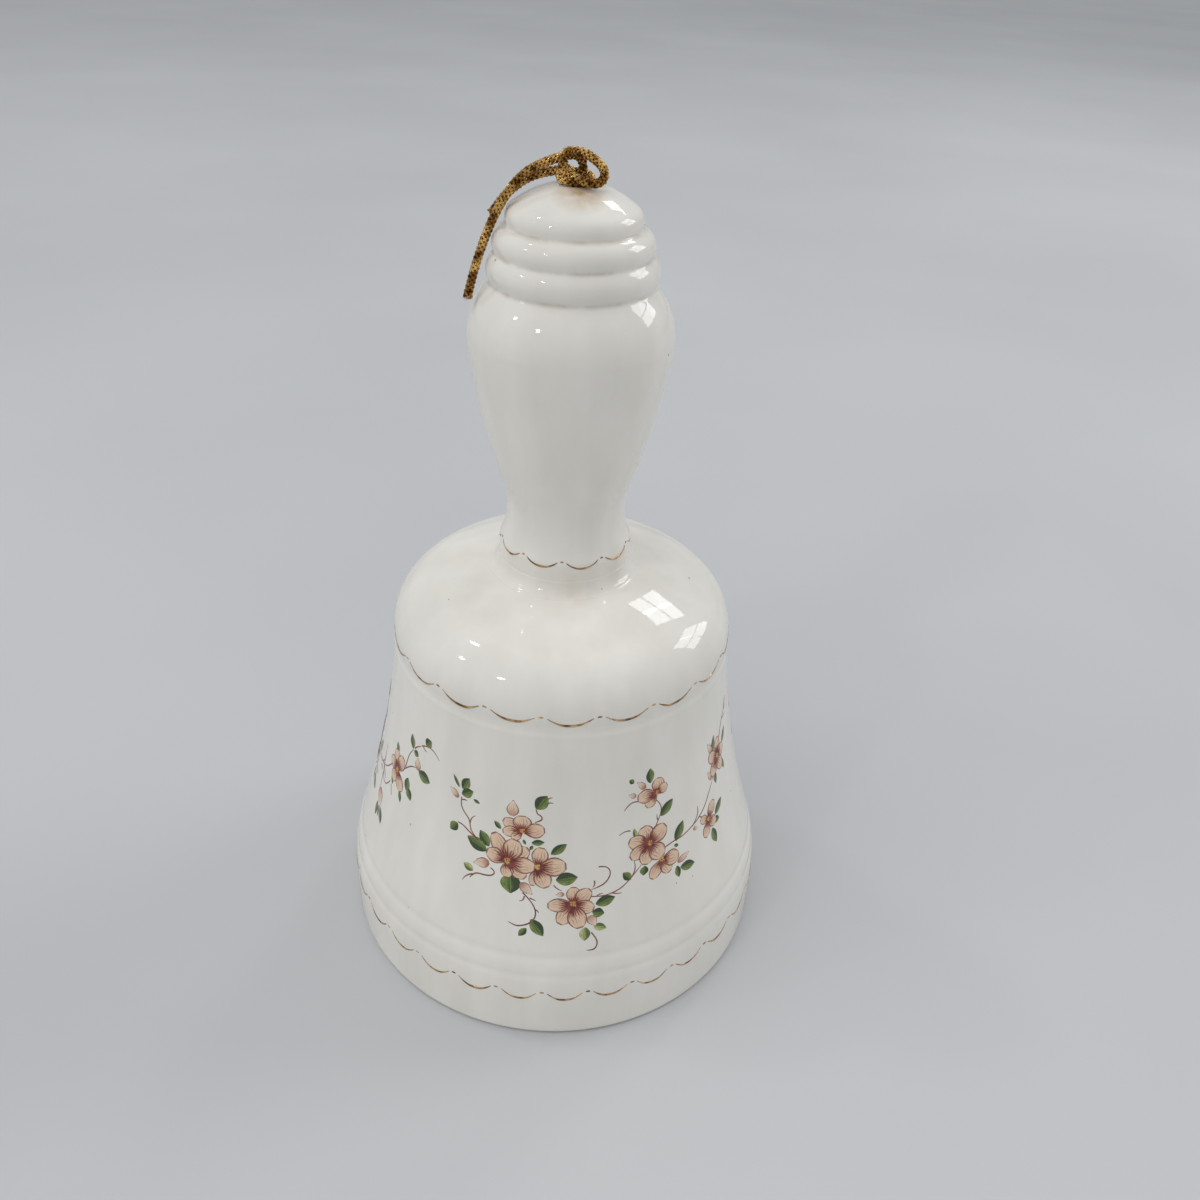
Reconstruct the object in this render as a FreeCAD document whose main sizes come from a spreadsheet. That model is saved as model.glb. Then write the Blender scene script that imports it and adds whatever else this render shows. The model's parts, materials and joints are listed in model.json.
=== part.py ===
import FreeCAD, Part
import Sketcher
import math
import os
import re

# A porcelain hand bell, in millimetres. +Z is up the bell's own axis and the
# origin is the middle of the rim's foot, on the surface that the bell stands on.
#
# Two slip-cast shells are luted together at the collar: the bell with its
# domed shoulder, and the hollow handle with its ringed finial. One braided cord
# runs doubled through the hollow handle. It is knotted on top of the finial,
# with a small loop and two cut tails, and it carries the clapper below.

document = FreeCAD.newDocument("porcelain_bell")
sheet = document.addObject("Spreadsheet::Sheet", "Sizes")

SIZES = {
    # bell shell, outside, from the foot up
    "rim_radius": 61.5,
    "rim_round": 1.4,
    "lip_height": 14.0,
    "lip_curve": 46.8,
    "flare_rise": 13.2,
    "flare_curve": 290.0,
    "waist_height": 95.2,
    "waist_band": 3.0,
    "shoulder_radius": 45.2,
    "shoulder_round": 13.5,
    "shoulder_rise_angle": 69.0,
    "bell_wall": 4.2,
    "throat_clearance": 3.7,
    # incised lines above the lip and round the waist
    "line_radius": 0.4,
    "line_pitch": 1.3,
    "low_line_rise": 9.0,
    # handle shell, outside, from the collar up: each rise is from the level below it
    "collar_radius": 16.9,
    "collar_rise": 8.4,
    "neck_radius": 15.0,
    "neck_rise": 8.2,
    "neck_curve": 19.0,
    "bulb_foot_radius": 16.4,
    "bulb_foot_rise": 8.4,
    "bulb_side_curve": 195.0,
    "bulb_top_radius": 22.9,
    "bulb_top_rise": 26.0,
    "bulb_crest_curve": 60.0,
    "bulb_radius": 24.2,
    "bulb_rise": 11.0,
    "bulb_shoulder_curve": 18.0,
    "low_crease_radius": 18.8,
    "low_crease_rise": 11.9,
    "low_ring_curve": 4.6,
    "mid_crease_radius": 17.8,
    "mid_crease_rise": 6.6,
    "mid_ring_curve": 3.7,
    "top_crease_radius": 15.1,
    "top_crease_rise": 5.7,
    "top_ring_curve": 3.3,
    "dome_radius": 13.6,
    "dome_foot_rise": 4.5,
    "dome_curve": 24.0,
    "dome_rise": 4.3,
    "hole_clearance": 0.9,
    "hole_round": 1.0,
    "handle_wall": 3.6,
    "finial_wall": 4.4,
    # slip fillet at the collar
    "fillet_width": 2.0,
    "fillet_height": 3.0,
    "fillet_curve": 4.5,
    # cord, and the two knots that stand in its ends
    "cord_radius": 1.1,
    "strand_gap": 0.2,
    "knot_tuck": 1.4,
    "knot_curve": 3.9,
    "knot_height": 7.2,
    "knot_sink": 1.8,
    "stop_lap": 0.7,
    "stop_tuck": 2.0,
    "stop_curve": 4.2,
    "stop_height": 5.0,
    # clapper and its swing
    "body_gap": 0.3,
    "swing_drop": 2.8,
    "swing_gap": 1.8,
    "clapper_radius": 13.5,
    "clapper_height": 33.0,
    "bore_clearance": 0.6,
}

for row, (alias, value) in enumerate(SIZES.items(), start=1):
    sheet.set(f"A{row}", alias)
    sheet.set(f"B{row}", str(value))
    sheet.setAlias(f"B{row}", alias)
document.recompute()


def cell(expression):
    """Write an expression's bare size names as cells of the sheet."""
    return re.sub(r"[a-z_]+", lambda word: ("Sizes." if word[0] in SIZES else "") + word[0], expression)


def value_of(expression):
    return float(sheet.evalExpression(cell(expression)))


# ---------------------------------------------------------------- places
# Heights and radii that follow from the sizes, as expressions of the sheet.


def lip_radius(rise):
    """Radius of the skirt's rounded lip at a rise above lip_height."""
    return f"( rim_radius - lip_curve + sqrt( lip_curve ^ 2 - {rise} ^ 2 ) )"


SHOULDER_HEIGHT = "( waist_height + waist_band )"
SHOULDER_CENTRE = "( shoulder_radius - shoulder_round )"
CROWN_EDGE_RADIUS = f"( {SHOULDER_CENTRE} + shoulder_round * cos( shoulder_rise_angle ) )"
CROWN_EDGE_HEIGHT = f"( {SHOULDER_HEIGHT} + shoulder_round * sin( shoulder_rise_angle ) )"
CROWN_CURVE = f"( {CROWN_EDGE_RADIUS} / cos( shoulder_rise_angle ) )"
CROWN_CENTRE = f"( {CROWN_EDGE_HEIGHT} - {CROWN_CURVE} * sin( shoulder_rise_angle ) )"
SEAT_RADIUS = "( collar_radius + fillet_width )"
SEAT_HEIGHT = f"( {CROWN_CENTRE} + sqrt( {CROWN_CURVE} ^ 2 - {SEAT_RADIUS} ^ 2 ) )"
INNER_CURVE = f"( {CROWN_CURVE} - bell_wall )"
CEILING = f"( {SEAT_HEIGHT} - bell_wall )"

COLLAR = f"( {SEAT_HEIGHT} + collar_rise )"
NECK = f"( {COLLAR} + neck_rise )"
BULB_FOOT = f"( {NECK} + bulb_foot_rise )"
BULB_TOP = f"( {BULB_FOOT} + bulb_top_rise )"
BULB = f"( {BULB_TOP} + bulb_rise )"
LOW_CREASE = f"( {BULB} + low_crease_rise )"
MID_CREASE = f"( {LOW_CREASE} + mid_crease_rise )"
TOP_CREASE = f"( {MID_CREASE} + top_crease_rise )"
DOME_FOOT = f"( {TOP_CREASE} + dome_foot_rise )"
TOP = f"( {DOME_FOOT} + dome_rise )"

STRAND_OFFSET = "( cord_radius + strand_gap / 2 )"
CORD_REACH = f"( {STRAND_OFFSET} + cord_radius )"
THROAT_RADIUS = f"( {CORD_REACH} + throat_clearance )"
HOLE_RADIUS = f"( {CORD_REACH} + hole_clearance )"
BORE_RADIUS = f"( {CORD_REACH} + bore_clearance )"
BORE_HALF = f"sqrt( clapper_radius ^ 2 - {BORE_RADIUS} ^ 2 )"
CLAPPER_FOOT = f"( clapper_height - {BORE_HALF} )"
CLAPPER_HEAD = f"( clapper_height + {BORE_HALF} )"
STOP_RADIUS = f"( {BORE_RADIUS} + stop_lap )"
KNOT_FLAT = f"( {HOLE_RADIUS} - knot_tuck )"
KNOT_FOOT = f"( {TOP} - knot_sink )"
SWING_HEIGHT = f"( {SEAT_HEIGHT} - swing_drop )"


# ---------------------------------------------------------------- builders

def plane_of(body, role):
    for feature in body.Origin.OriginFeatures:
        if feature.Role == role:
            return feature
    raise RuntimeError("no origin plane " + role)


def new_body(label):
    body = document.addObject("PartDesign::Body", label)
    body.Label = label
    return body


def new_sketch(body, name):
    sketch = body.newObject("Sketcher::SketchObject", name)
    sketch.AttachmentSupport = [(plane_of(body, "XZ_Plane"), "")]
    sketch.MapMode = "FlatFace"
    return sketch


def pin(sketch, edge, end, across, up):
    """Hold one end of a sketch edge at a radius and a height from the sheet."""
    for kind, axis, expression in (("DistanceX", -2, across), ("DistanceY", -1, up)):
        distance = value_of(expression)
        if abs(distance) < 1e-9:
            sketch.addConstraint(Sketcher.Constraint("PointOnObject", edge, end, axis))
            continue
        index = sketch.addConstraint(Sketcher.Constraint(kind, -1, 1, edge, end, distance))
        sketch.setExpression(f"Constraints[{index}]", cell(expression))


def arc_between(start, end, radius):
    """Arc from start to end. A positive radius turns left, a negative one right."""
    chord = end - start
    middle = (start + end) * 0.5
    height = math.sqrt(max(radius * radius - chord.Length ** 2 / 4.0, 0.0))
    left = FreeCAD.Vector(-chord.y, chord.x, 0).normalize()
    centre = middle + left * (height if radius > 0 else -height)
    first = math.atan2(start.y - centre.y, start.x - centre.x)
    last = math.atan2(end.y - centre.y, end.x - centre.x)
    circle = Part.Circle(centre, FreeCAD.Vector(0, 0, 1), abs(radius))
    if radius > 0:
        return Part.ArcOfCircle(circle, first, last), 1, 2
    return Part.ArcOfCircle(circle, last, first), 2, 1


def outline(body, name, corners):
    """Closed outline of lines and arcs. Each corner is (radius, height, arc),
    and its arc, such as +lip_curve or -neck_curve, is the edge that leaves it."""
    sketch = new_sketch(body, name)
    places = [FreeCAD.Vector(value_of(x), value_of(z), 0) for x, z, _ in corners]
    starts = []
    ends = []
    for number, (x, z, arc) in enumerate(corners):
        here = places[number]
        there = places[(number + 1) % len(places)]
        if arc is None:
            edge = sketch.addGeometry(Part.LineSegment(here, there), False)
            start, end = 1, 2
        else:
            size = value_of(arc[1:])
            curve, start, end = arc_between(here, there, size if arc[0] == "+" else -size)
            edge = sketch.addGeometry(curve, False)
            index = sketch.addConstraint(Sketcher.Constraint("Radius", edge, size))
            sketch.setExpression(f"Constraints[{index}]", cell(arc[1:]))
        starts.append((edge, start))
        ends.append((edge, end))
    for number, (x, z, _) in enumerate(corners):
        edge, start = starts[number]
        before, end = ends[number - 1]
        sketch.addConstraint(Sketcher.Constraint("Coincident", before, end, edge, start))
        pin(sketch, edge, start, x, z)
    return sketch


def turned(body, name, sketch, kind="PartDesign::Revolution"):
    feature = body.newObject(kind, name)
    feature.Profile = sketch
    feature.ReferenceAxis = (sketch, ["V_Axis"])
    feature.Angle = 360.0
    body.Tip = feature
    return feature


def incised_lines(body, name, circles):
    """Fine lines cut round the shell: one small circle of the sketch for each."""
    sketch = new_sketch(body, name + "_sketch")
    for x, z in circles:
        centre = FreeCAD.Vector(value_of(x), value_of(z), 0)
        size = value_of("line_radius")
        edge = sketch.addGeometry(Part.Circle(centre, FreeCAD.Vector(0, 0, 1), size), False)
        index = sketch.addConstraint(Sketcher.Constraint("Radius", edge, size))
        sketch.setExpression(f"Constraints[{index}]", cell("line_radius"))
        pin(sketch, edge, 3, x, z)
    return turned(body, name, sketch, "PartDesign::Groove")


# ---------------------------------------------------------------- shells

def make_bell_shell():
    body = new_body("bell_shell")
    inner = "( {} - bell_wall )".format
    flare_radius = lip_radius("flare_rise")
    flare_height = "( lip_height + flare_rise )"
    sketch = outline(body, "bell_outline", [
        ("rim_radius - rim_round", "0", "+rim_round"),
        ("rim_radius", "rim_round", None),
        ("rim_radius", "lip_height", "+lip_curve"),
        (flare_radius, flare_height, "-flare_curve"),
        ("shoulder_radius", "waist_height", None),
        ("shoulder_radius", SHOULDER_HEIGHT, "+shoulder_round"),
        (CROWN_EDGE_RADIUS, CROWN_EDGE_HEIGHT, "+" + CROWN_CURVE),
        (SEAT_RADIUS, SEAT_HEIGHT, None),
        (THROAT_RADIUS, SEAT_HEIGHT, None),
        (THROAT_RADIUS, CEILING, "-" + INNER_CURVE),
        (f"{CROWN_EDGE_RADIUS} - bell_wall * cos( shoulder_rise_angle )",
         f"{CROWN_EDGE_HEIGHT} - bell_wall * sin( shoulder_rise_angle )",
         "-" + inner("shoulder_round")),
        (inner("shoulder_radius"), SHOULDER_HEIGHT, None),
        (inner("shoulder_radius"), "waist_height", "+( flare_curve + bell_wall )"),
        (inner(flare_radius), flare_height, "-" + inner("lip_curve")),
        (inner("rim_radius"), "lip_height", None),
        (inner("rim_radius"), "rim_round", "+rim_round"),
        (inner("rim_radius") + " + rim_round", "0", None),
    ])
    turned(body, "bell_turned", sketch)
    incised_lines(body, "incised_lines", [
        (lip_radius("low_line_rise"), "lip_height + low_line_rise"),
        (flare_radius, flare_height),
        ("shoulder_radius", "waist_height"),
        ("shoulder_radius", "waist_height + line_pitch"),
    ])
    return body


def make_handle_shell():
    body = new_body("handle_shell")
    inner = "( {} - handle_wall )".format
    sketch = outline(body, "handle_outline", [
        ("collar_radius", SEAT_HEIGHT, None),
        ("collar_radius", COLLAR, "-neck_curve"),
        ("neck_radius", NECK, "-neck_curve"),
        ("bulb_foot_radius", BULB_FOOT, "+bulb_side_curve"),
        ("bulb_top_radius", BULB_TOP, "+bulb_crest_curve"),
        ("bulb_radius", BULB, "+bulb_shoulder_curve"),
        ("low_crease_radius", LOW_CREASE, "+low_ring_curve"),
        ("mid_crease_radius", MID_CREASE, "+mid_ring_curve"),
        ("top_crease_radius", TOP_CREASE, "+top_ring_curve"),
        ("dome_radius", DOME_FOOT, "+dome_curve"),
        (f"{HOLE_RADIUS} + hole_round", TOP, "+hole_round"),
        (HOLE_RADIUS, f"{TOP} - hole_round", None),
        (HOLE_RADIUS, f"{TOP} - finial_wall", None),
        (inner("top_crease_radius"), TOP_CREASE, None),
        (inner("low_crease_radius"), LOW_CREASE, None),
        (inner("bulb_radius"), BULB, "-" + inner("bulb_crest_curve")),
        (inner("bulb_top_radius"), BULB_TOP, "-" + inner("bulb_side_curve")),
        (inner("bulb_foot_radius"), BULB_FOOT, "+( neck_curve + handle_wall )"),
        (inner("neck_radius"), NECK, None),
        (inner("collar_radius"), SEAT_HEIGHT, None),
    ])
    turned(body, "handle_turned", sketch)
    return body


def make_slip_fillet():
    body = new_body("slip_fillet")
    sketch = outline(body, "fillet_outline", [
        ("collar_radius", SEAT_HEIGHT, None),
        (SEAT_RADIUS, SEAT_HEIGHT, "-fillet_curve"),
        ("collar_radius", f"{SEAT_HEIGHT} + fillet_height", None),
    ])
    turned(body, "fillet_turned", sketch)
    return body


# ---------------------------------------------------------------- clapper

def make_clapper():
    body = new_body("clapper")
    sketch = outline(body, "clapper_outline", [
        (BORE_RADIUS, CLAPPER_FOOT, "+clapper_radius"),
        (BORE_RADIUS, CLAPPER_HEAD, None),
    ])
    turned(body, "clapper_turned", sketch)
    return body


def make_stop_knot():
    """The knot under the clapper, as one plain closed solid."""
    body = new_body("stop_knot")
    foot = f"( {CLAPPER_FOOT} - stop_height )"
    sketch = outline(body, "stop_outline", [
        ("0", foot, None),
        (f"{STOP_RADIUS} - stop_tuck", foot, "+stop_curve"),
        (STOP_RADIUS, CLAPPER_FOOT, None),
        ("0", CLAPPER_FOOT, None),
    ])
    turned(body, "stop_turned", sketch)
    return body


def make_top_knot():
    """The knot that is drawn down into the finial's hole, as a closed barrel."""
    body = new_body("top_knot")
    sketch = outline(body, "knot_outline", [
        ("0", KNOT_FOOT, None),
        (KNOT_FLAT, KNOT_FOOT, "+knot_curve"),
        (KNOT_FLAT, f"( {KNOT_FOOT} + knot_height )", None),
        ("0", f"( {KNOT_FOOT} + knot_height )", None),
    ])
    turned(body, "knot_turned", sketch)
    return body


def make_strand(label, side, foot, head):
    """One straight strand of the doubled cord, from one height to another."""
    strand = document.addObject("Part::Cylinder", label)
    strand.Label = label
    strand.setExpression("Radius", cell("cord_radius"))
    strand.setExpression("Height", cell(f"{head} - {foot}"))
    strand.setExpression("Placement.Base.x", cell(f"{side} * {STRAND_OFFSET}"))
    strand.setExpression("Placement.Base.z", cell(foot))
    return strand


# ---------------------------------------------------------------- free cord
# Routes of the cord outside the finial, in millimetres from the middle of
# the finial's top: across, away and up. Each starts inside the knot.

LONG_TAIL = [
    (-3.0, -0.8, 4.8),
    (-7.4, -1.4, 3.9),
    (-11.3, -2.1, 1.7),
    (-14.3, -2.8, -1.7),
    (-16.8, -3.5, -5.7),
    (-19.0, -4.1, -10.4),
    (-20.9, -4.6, -15.6),
    (-22.5, -5.0, -20.8),
    (-23.3, -5.2, -24.2),
]
SHORT_TAIL = [
    (-3.0, 0.4, 2.4),
    (-6.4, 0.4, 1.8),
    (-9.9, 0.2, 0.8),
    (-13.2, 0.1, -1.4),
    (-16.1, 0.0, -4.1),
    (-18.0, -0.1, -7.2),
]
LOOP = [
    (-1.0, -0.9, 6.5),
    (1.5, -1.4, 6.5),
    (3.9, -2.1, 5.3),
    (5.9, -2.7, 3.7),
    (6.2, -3.8, 1.9),
    (4.8, -5.0, 0.9),
    (2.4, -5.3, 1.1),
    (0.2, -4.4, 1.8),
    (-1.6, -3.0, 2.4),
]
ARC_SHARE = 0.45


def rounded_path(points):
    """Straight runs joined by tangent arcs, and the radius of each arc."""
    runs = [(b - a).Length for a, b in zip(points, points[1:])]
    edges = []
    radii = []
    start = points[0]
    for number in range(1, len(points) - 1):
        corner = points[number]
        back = (points[number - 1] - corner).normalize()
        ahead = (points[number + 1] - corner).normalize()
        turn = math.pi - back.getAngle(ahead)
        reach = ARC_SHARE * min(runs[number - 1], runs[number])
        radius = reach / math.tan(turn / 2.0)
        entry = corner + back * reach
        leave = corner + ahead * reach
        inward = (back + ahead).normalize()
        middle = corner + inward * (math.hypot(radius, reach) - radius)
        edges.append(Part.LineSegment(start, entry).toShape())
        edges.append(Part.Arc(entry, middle, leave).toShape())
        radii.append(radius)
        start = leave
    edges.append(Part.LineSegment(start, points[-1]).toShape())
    return Part.Wire(edges), radii


def make_tube(label, route):
    """A cord as a round tube along its route."""
    top = FreeCAD.Vector(0, 0, value_of(TOP))
    points = [top + FreeCAD.Vector(*place) for place in route]
    path, radii = rounded_path(points)
    size = value_of("cord_radius")
    section = Part.Wire(Part.makeCircle(size, points[0], points[1] - points[0]))
    tube = document.addObject("Part::Feature", label)
    tube.Label = label
    tube.Shape = path.makePipeShell([section], True, False)
    tube.Placement = FreeCAD.Placement()
    expected = math.pi * size ** 2 * path.Length
    if abs(tube.Shape.Volume / expected - 1.0) > 0.01:
        raise RuntimeError(label + " does not fill its own path")
    print(label, "length", round(path.Length, 1), "radii", [round(radius, 1) for radius in radii])
    return tube


# ---------------------------------------------------------------- assembly

parts = [
    make_bell_shell(),
    make_handle_shell(),
    make_slip_fillet(),
    make_top_knot(),
    make_tube("cord_long_tail", LONG_TAIL),
    make_tube("cord_short_tail", SHORT_TAIL),
    make_tube("cord_loop", LOOP),
    make_clapper(),
    make_stop_knot(),
]
for name, side in (("left", "-1"), ("right", "1")):
    parts.append(make_strand(f"upper_strand_{name}", side, SWING_HEIGHT, f"( {KNOT_FOOT} - body_gap )"))
    parts.append(make_strand(f"lower_strand_{name}", side, CLAPPER_FOOT, f"( {SWING_HEIGHT} - swing_gap )"))
document.recompute()

for item in document.Objects:
    if "Invalid" in item.State or "Error" in item.State:
        raise RuntimeError(item.Label + " did not build: " + str(item.State))
for part in parts:
    if part.Shape.isNull() or not part.Shape.isValid():
        raise RuntimeError(part.Label + " has no valid shape")

os.makedirs("parts", exist_ok=True)
for part in parts:
    part.Shape.exportStep(os.path.join("parts", part.Label + ".step"))
    print(part.Label, "volume", round(part.Shape.Volume, 1), "solids", len(part.Shape.Solids))
print("seat", round(value_of(SEAT_HEIGHT), 3), "top", round(value_of(TOP), 3))
print("swing pivot", round(value_of(SWING_HEIGHT), 3), "ceiling", round(value_of(CEILING), 3))
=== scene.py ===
import json
import math
import random

import bpy
import numpy as np
from mathutils import Matrix, Vector


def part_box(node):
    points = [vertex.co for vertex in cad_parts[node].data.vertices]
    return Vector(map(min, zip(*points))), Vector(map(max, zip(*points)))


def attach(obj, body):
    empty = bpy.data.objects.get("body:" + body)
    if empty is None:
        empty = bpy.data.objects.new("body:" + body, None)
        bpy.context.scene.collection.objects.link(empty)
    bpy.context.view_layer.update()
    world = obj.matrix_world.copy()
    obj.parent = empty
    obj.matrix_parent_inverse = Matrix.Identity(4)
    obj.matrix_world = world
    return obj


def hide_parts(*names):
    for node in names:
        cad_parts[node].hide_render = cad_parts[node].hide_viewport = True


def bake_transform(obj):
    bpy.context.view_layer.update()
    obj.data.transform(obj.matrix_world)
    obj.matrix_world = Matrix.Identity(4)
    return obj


# A glazed porcelain hand bell: two spun shells joined by a soft seam of slip, a
# metallic braided cord knotted on the finial, a clapper on the doubled cord
# inside, and transfer flowers and lustre scallops fired onto the glaze.
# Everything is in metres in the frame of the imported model; MM turns millimetres.

MM = 0.001
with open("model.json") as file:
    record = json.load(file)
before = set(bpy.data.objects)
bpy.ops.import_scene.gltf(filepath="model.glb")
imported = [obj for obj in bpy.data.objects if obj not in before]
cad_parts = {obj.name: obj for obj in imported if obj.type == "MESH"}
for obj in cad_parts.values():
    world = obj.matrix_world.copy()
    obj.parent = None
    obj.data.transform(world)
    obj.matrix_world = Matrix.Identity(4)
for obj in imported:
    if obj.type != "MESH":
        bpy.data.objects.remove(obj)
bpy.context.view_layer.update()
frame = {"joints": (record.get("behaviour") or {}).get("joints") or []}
bpy.ops.object.select_all(action="DESELECT")
chance = random.Random(12)

bell_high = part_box("bell_shell")[1]
SEAT = bell_high.z / MM                            # where the handle stands on the crown
RIM = bell_high.x / MM
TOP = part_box("handle_shell")[1].z / MM             # the lip of the cord's hole
CLAPPER_FOOT, CLAPPER_HEAD = (corner.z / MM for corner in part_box("clapper"))
SWING = frame["joints"][1]["pos_m"][2] / MM
CORD_RADIUS = (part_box("lower_strand_left")[1].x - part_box("lower_strand_left")[0].x) / 2 / MM
STRAND_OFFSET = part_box("lower_strand_right")[1].x / MM - CORD_RADIUS

WALL = 4.2
HANDLE_WALL = 3.6
SHOULDER = 45.2
WAIST = 95.2
THROAT = 6.0
HOLE = 3.2
BORE = 2.9
CLAPPER_RADIUS = 13.5


# ---------- finishes

def linear(colour):
    """An sRGB hex colour as the linear numbers that the shaders take."""
    parts = [int(colour[place:place + 2], 16) / 255 for place in (1, 3, 5)]
    return [part / 12.92 if part <= 0.04045 else ((part + 0.055) / 1.055) ** 2.4 for part in parts] + [1.0]


def add(tree, kind, inputs=None, output=0, stops=(), **settings):
    """Add one shader node with its settings, values and links, and return one of its outputs.
    A value may be a hex colour. Stops are a ramp's places with a hex colour or a grey each."""
    node = tree.nodes.new("ShaderNode" + kind)
    for name, value in settings.items():
        setattr(node, name, value)
    for name, value in (inputs or {}).items():
        if isinstance(value, bpy.types.NodeSocket):
            tree.links.new(value, node.inputs[name])
        else:
            node.inputs[name].default_value = linear(value) if isinstance(value, str) else value
    for _ in stops[2:]:
        node.color_ramp.elements.new(0.5)
    for number, (place, colour) in enumerate(stops):
        element = node.color_ramp.elements[number]
        element.position = place
        element.color = linear(colour) if isinstance(colour, str) else (colour, colour, colour, 1.0)
    return node.outputs[output] if node.outputs else None


def new_material(name):
    material = bpy.data.materials.new(name)
    material.use_nodes = True
    material.node_tree.nodes.clear()
    return material, material.node_tree


def per_mm(*sizes):
    """Texture scales for features of the given sizes in millimetres."""
    scales = [1 / (size * MM) for size in sizes]
    return scales if len(scales) > 1 else scales[0]


def laid_over(tree, colour, pattern, stops, second):
    """Lay a second colour over a first where a pattern is strong; the stops say how much."""
    cover = add(tree, "ValToRGB", {0: pattern}, stops=stops)
    return add(tree, "Mix", {0: cover, 6: colour, 7: second}, 2, data_type="RGBA")


def closeness(tree, away, reach):
    """One where a distance is nothing, falling to nothing at a reach in millimetres."""
    share = add(tree, "Math", {0: away, 1: reach * MM}, operation="DIVIDE")
    return add(tree, "Math", {0: 1.0, 1: share}, operation="SUBTRACT", use_clamp=True)


def glazed_porcelain(name, body, shade, stains_and_shade=(), crease_shade=()):
    """Slip-cast porcelain, glazed and glost fired: a warm white with a wet gloss, faint runs down
    the wall, tan stains, tan patches of painted shade, painted shade in the creases, iron specks and a bare
    biscuit foot."""
    material, tree = new_material(name)
    place = add(tree, "TexCoord", output="Object")
    height = add(tree, "SeparateXYZ", {0: place}, "Z")

    down = add(tree, "Mapping", {"Vector": place, "Scale": per_mm(9, 9, 63)})
    runs = add(tree, "TexNoise", {"Vector": down, "Scale": 1.0, "Detail": 3.0})
    colour = add(tree, "ValToRGB", {0: runs}, stops=((0.3, shade), (0.68, body)))
    cloud = add(tree, "TexNoise", {"Vector": place, "Scale": per_mm(38), "Detail": 2.0})
    colour = laid_over(tree, colour, cloud, ((0.45, 0.0), (0.8, 0.4)), "#DEDCD4")

    smear = add(tree, "Mapping", {"Vector": place, "Scale": per_mm(3.5, 3.5, 7)})
    smear = add(tree, "TexNoise", {"Vector": smear, "Scale": 1.0, "Detail": 3.0})
    # Tan patches: real stains on the collar, and painted shade round the cord's hole on the finial.
    for spot, reach, strength in stains_and_shade:
        spot = [part * MM for part in spot]
        away = add(tree, "VectorMath", {0: place, 1: spot}, "Value", operation="DISTANCE")
        patchy = add(tree, "Math", {0: closeness(tree, away, reach), 1: smear}, operation="MULTIPLY")
        patchy = add(tree, "Math", {0: patchy, 1: strength}, operation="MULTIPLY")
        colour = add(tree, "Mix", {0: patchy, 6: colour, 7: "#B08A52"}, 2, data_type="RGBA")

    # Painted shade: a patchy darker tan in the creases between the beads of the handle's top.
    crease_shade_patches = add(tree, "TexNoise", {"Vector": place, "Scale": per_mm(5), "Detail": 3.0})
    crease_shade_patches = add(tree, "ValToRGB", {0: crease_shade_patches}, stops=((0.35, 0.0), (0.7, 0.5)))
    for level, reach in crease_shade:
        away = add(tree, "Math", {0: height, 1: level * MM}, operation="SUBTRACT")
        away = add(tree, "Math", {0: away}, operation="ABSOLUTE")
        near = add(tree, "Math", {0: closeness(tree, away, reach), 1: crease_shade_patches}, operation="MULTIPLY")
        colour = add(tree, "Mix", {0: near, 6: colour, 7: "#A8957C"}, 2, data_type="RGBA")

    # One speck may sit in each cell of 5.6 mm; the largest are 0.7 mm across.
    speck = add(tree, "TexVoronoi", {"Vector": place, "Scale": per_mm(5.5556)}, "Distance")
    size = add(tree, "SeparateColor", {0: speck.node.outputs["Color"]})
    size = add(tree, "Math", {0: size, 1: 0.4}, operation="SUBTRACT")
    size = add(tree, "Math", {0: size, 1: 0.1}, operation="MULTIPLY")
    iron = add(tree, "Math", {0: speck, 1: size}, operation="LESS_THAN")
    iron = add(tree, "Math", {0: iron, 1: 0.62}, operation="MULTIPLY")
    colour = add(tree, "Mix", {0: iron, 6: colour, 7: "#5C4A38"}, 2, data_type="RGBA")

    wander = add(tree, "TexNoise", {"Vector": place, "Scale": per_mm(4), "Detail": 2.0})
    wander = add(tree, "Math", {0: wander, 1: 0.9 * MM}, operation="MULTIPLY")
    bare = add(tree, "Math", {0: height, 1: wander}, operation="LESS_THAN")
    colour = add(tree, "Mix", {0: bare, 6: colour, 7: "#D8D0C0"}, 2, data_type="RGBA")

    gloss = add(tree, "TexNoise", {"Vector": place, "Scale": per_mm(14), "Detail": 2.0})
    gloss = add(tree, "Math", {0: gloss, 1: 0.05, 2: 0.01}, operation="MULTIPLY_ADD")
    matt = add(tree, "Math", {0: bare, 1: 0.75}, operation="MULTIPLY")
    roughness = add(tree, "Math", {0: gloss, 1: matt}, operation="MAXIMUM")

    swell = add(tree, "Mapping", {"Vector": place, "Scale": per_mm(16, 16, 40)})
    swell = add(tree, "TexNoise", {"Vector": swell, "Scale": 1.0, "Detail": 1.0})
    relief = add(tree, "Bump", {"Height": swell, "Distance": 0.22 * MM, "Strength": 0.6})
    skin = add(tree, "TexNoise", {"Vector": place, "Scale": per_mm(1.6), "Detail": 1.0})
    relief = add(tree, "Bump", {"Height": skin, "Distance": 0.007 * MM, "Strength": 0.5, "Normal": relief})
    shader = add(tree, "BsdfPrincipled", {"Base Color": colour, "Roughness": roughness, "IOR": 1.52,
                                          "Normal": relief})
    add(tree, "OutputMaterial", {"Surface": shader})
    return material


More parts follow.
